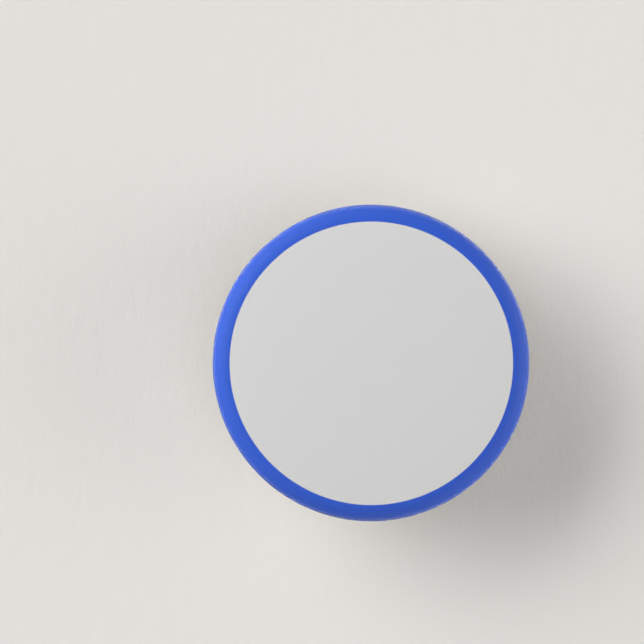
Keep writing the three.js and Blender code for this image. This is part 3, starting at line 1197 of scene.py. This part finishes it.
@dataclass(frozen=True)
class Studio:
    """A pale sheet some way behind the badge, soft boxes, a pale surround and the camera."""

    badge_diameter: float
    girth_depth: float
    image_side: float = 644.0
    badge_pixels: float = 317.0
    badge_centre: Pair = (370.86, 362.91)
    lens: float = 150.0
    sensor: float = 36.0
    sheet_side: float = 4000.0
    sheet_gap: float = 5.0
    opening_margin: float = 5.0
    front_light: Colour = (0.26, 0.26, 0.26)
    side_light: Colour = (0.6, 0.59, 0.575)
    back_light: Colour = (0.17, 0.175, 0.185)
    backdrop: Colour = (0.5, 0.49, 0.475)
    side_span: Pair = (-0.1, 0.15)
    back_cone: Pair = (20.0, 60.0)
    soft_boxes: tuple[SoftBox, ...] = (
        SoftBox(130.0, 24.0, 6.0, 22.0, 3.9),
        SoftBox(150.0, 24.0, 6.0, 22.0, 5.2),
        SoftBox(170.0, 24.0, 6.0, 22.0, 3.9),
        SoftBox(170.0, 34.0, 6.0, 22.0, 1.5),
        SoftBox(315.0, 30.0, 0.0, 45.0, 0.5),
        SoftBox(315.0, 62.0, 0.0, 40.0, 0.45),
        SoftBox(0.0, 8.0, 10.0, 30.0, 3.9),
        SoftBox(45.0, -38.0, 14.0, 38.0, 3.5),
        SoftBox(168.0, -35.0, 2.0, 16.0, 1.0),
        SoftBox(150.0, -64.0, 0.0, 19.0, 1.5, (1.0, 0.975, 0.93)),
        SoftBox(320.0, -64.0, 2.0, 22.0, 1.4, (1.0, 0.975, 0.93)),
    )

    def camera(self) -> None:
        """Places the camera so that the badge has its size and place in the photograph."""
        per_pixel = self.badge_diameter / self.badge_pixels
        width = per_pixel * self.image_side
        distance = width * self.lens / self.sensor
        middle = self.image_side / 2
        across = (middle - self.badge_centre[0]) * per_pixel
        up = (self.badge_centre[1] - middle) * per_pixel
        data = bpy.data.cameras.new("camera")
        data.lens = self.lens
        data.sensor_width = self.sensor
        data.clip_start = MM
        camera = in_scene("camera", data)
        camera.location = np.array([across, -self.girth_depth - distance, up]) * MM
        camera.rotation_euler = (QUARTER, 0.0, 0.0)
        bpy.context.scene.camera = camera

    def sheet(self) -> None:
        """Makes the sheet, behind the plane of the back rim, with its front towards the camera."""
        square = np.array([(-0.5, 0.0, -0.5), (0.5, 0.0, -0.5), (0.5, 0.0, 0.5), (-0.5, 0.0, 0.5)])
        corners = (square * self.sheet_side + (0.0, self.sheet_gap, 0.0)) * MM
        mesh = bpy.data.meshes.new("backdrop_sheet")
        mesh.from_pydata(corners.tolist(), [], [(0, 1, 2, 3)])
        mesh.update()
        sheet = in_scene("backdrop_sheet", mesh)
        paper = BackdropPaper("Backdrop paper", self.badge_diameter / 2 + self.opening_margin)
        mesh.materials.append(paper.material())

    def world(self) -> None:
        """Surrounds the badge with a pale room before its face, a dimmer one behind it, and the lights.

        The camera itself sees a plain backdrop wherever it looks past the sheet.
        """
        world = bpy.data.worlds.new("Surround")
        bpy.context.scene.world = world
        nodes = Wiring.emptied(world)
        direction = nodes.put("TexCoord").outputs["Generated"]
        towards_back = nodes.height(direction)
        beside = nodes.ramp(towards_back, *self.side_span)
        colour = nodes.colours(beside, self.front_light, self.side_light)
        dim, open_side = (math.cos(math.radians(angle)) for angle in self.back_cone)
        colour = nodes.colours(nodes.ramp(towards_back, open_side, dim), colour, self.back_light)
        for box in self.soft_boxes:
            colour = nodes.vector("ADD", colour, box.light(nodes, direction))
        seen = nodes.put("LightPath").outputs["Is Camera Ray"]
        background = nodes.put("Background", {"Color": nodes.colours(seen, colour, self.backdrop)})
        nodes.put("OutputWorld", {"Surface": background.outputs[0]})

    def make(self) -> None:
        """Sets up the whole studio."""
        bpy.context.scene.view_settings.view_transform = "Standard"
        self.camera()
        self.sheet()
        self.world()


def main() -> None:
    """Builds the badge and the studio round it."""
    logging.basicConfig(level=logging.INFO, format="%(name)s: %(message)s")
    film_low, film_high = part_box("clear_film")
    front = WrappedFront((film_high.x - film_low.x) / MM, -film_low.y / MM)
    wire_depth = SpringWire.diameter / 2
    arm_depth = SpringWire.hook_sink + wire_depth + SpringWire.diameter + SpringWire.hook_gap
    back = StampedBack(front, disc_depth=arm_depth + wire_depth + CLOTH_ROOM)
    wire = SpringWire(back)
    front.make()
    back.make()
    wire.make()
    Studio(front.diameter, front.girth_depth).make()
    LOG.info("curl inside %.3f, disc %.3f", front.curl_inner_radius, back.disc_radius)


if __name__ == "__main__":
    main()
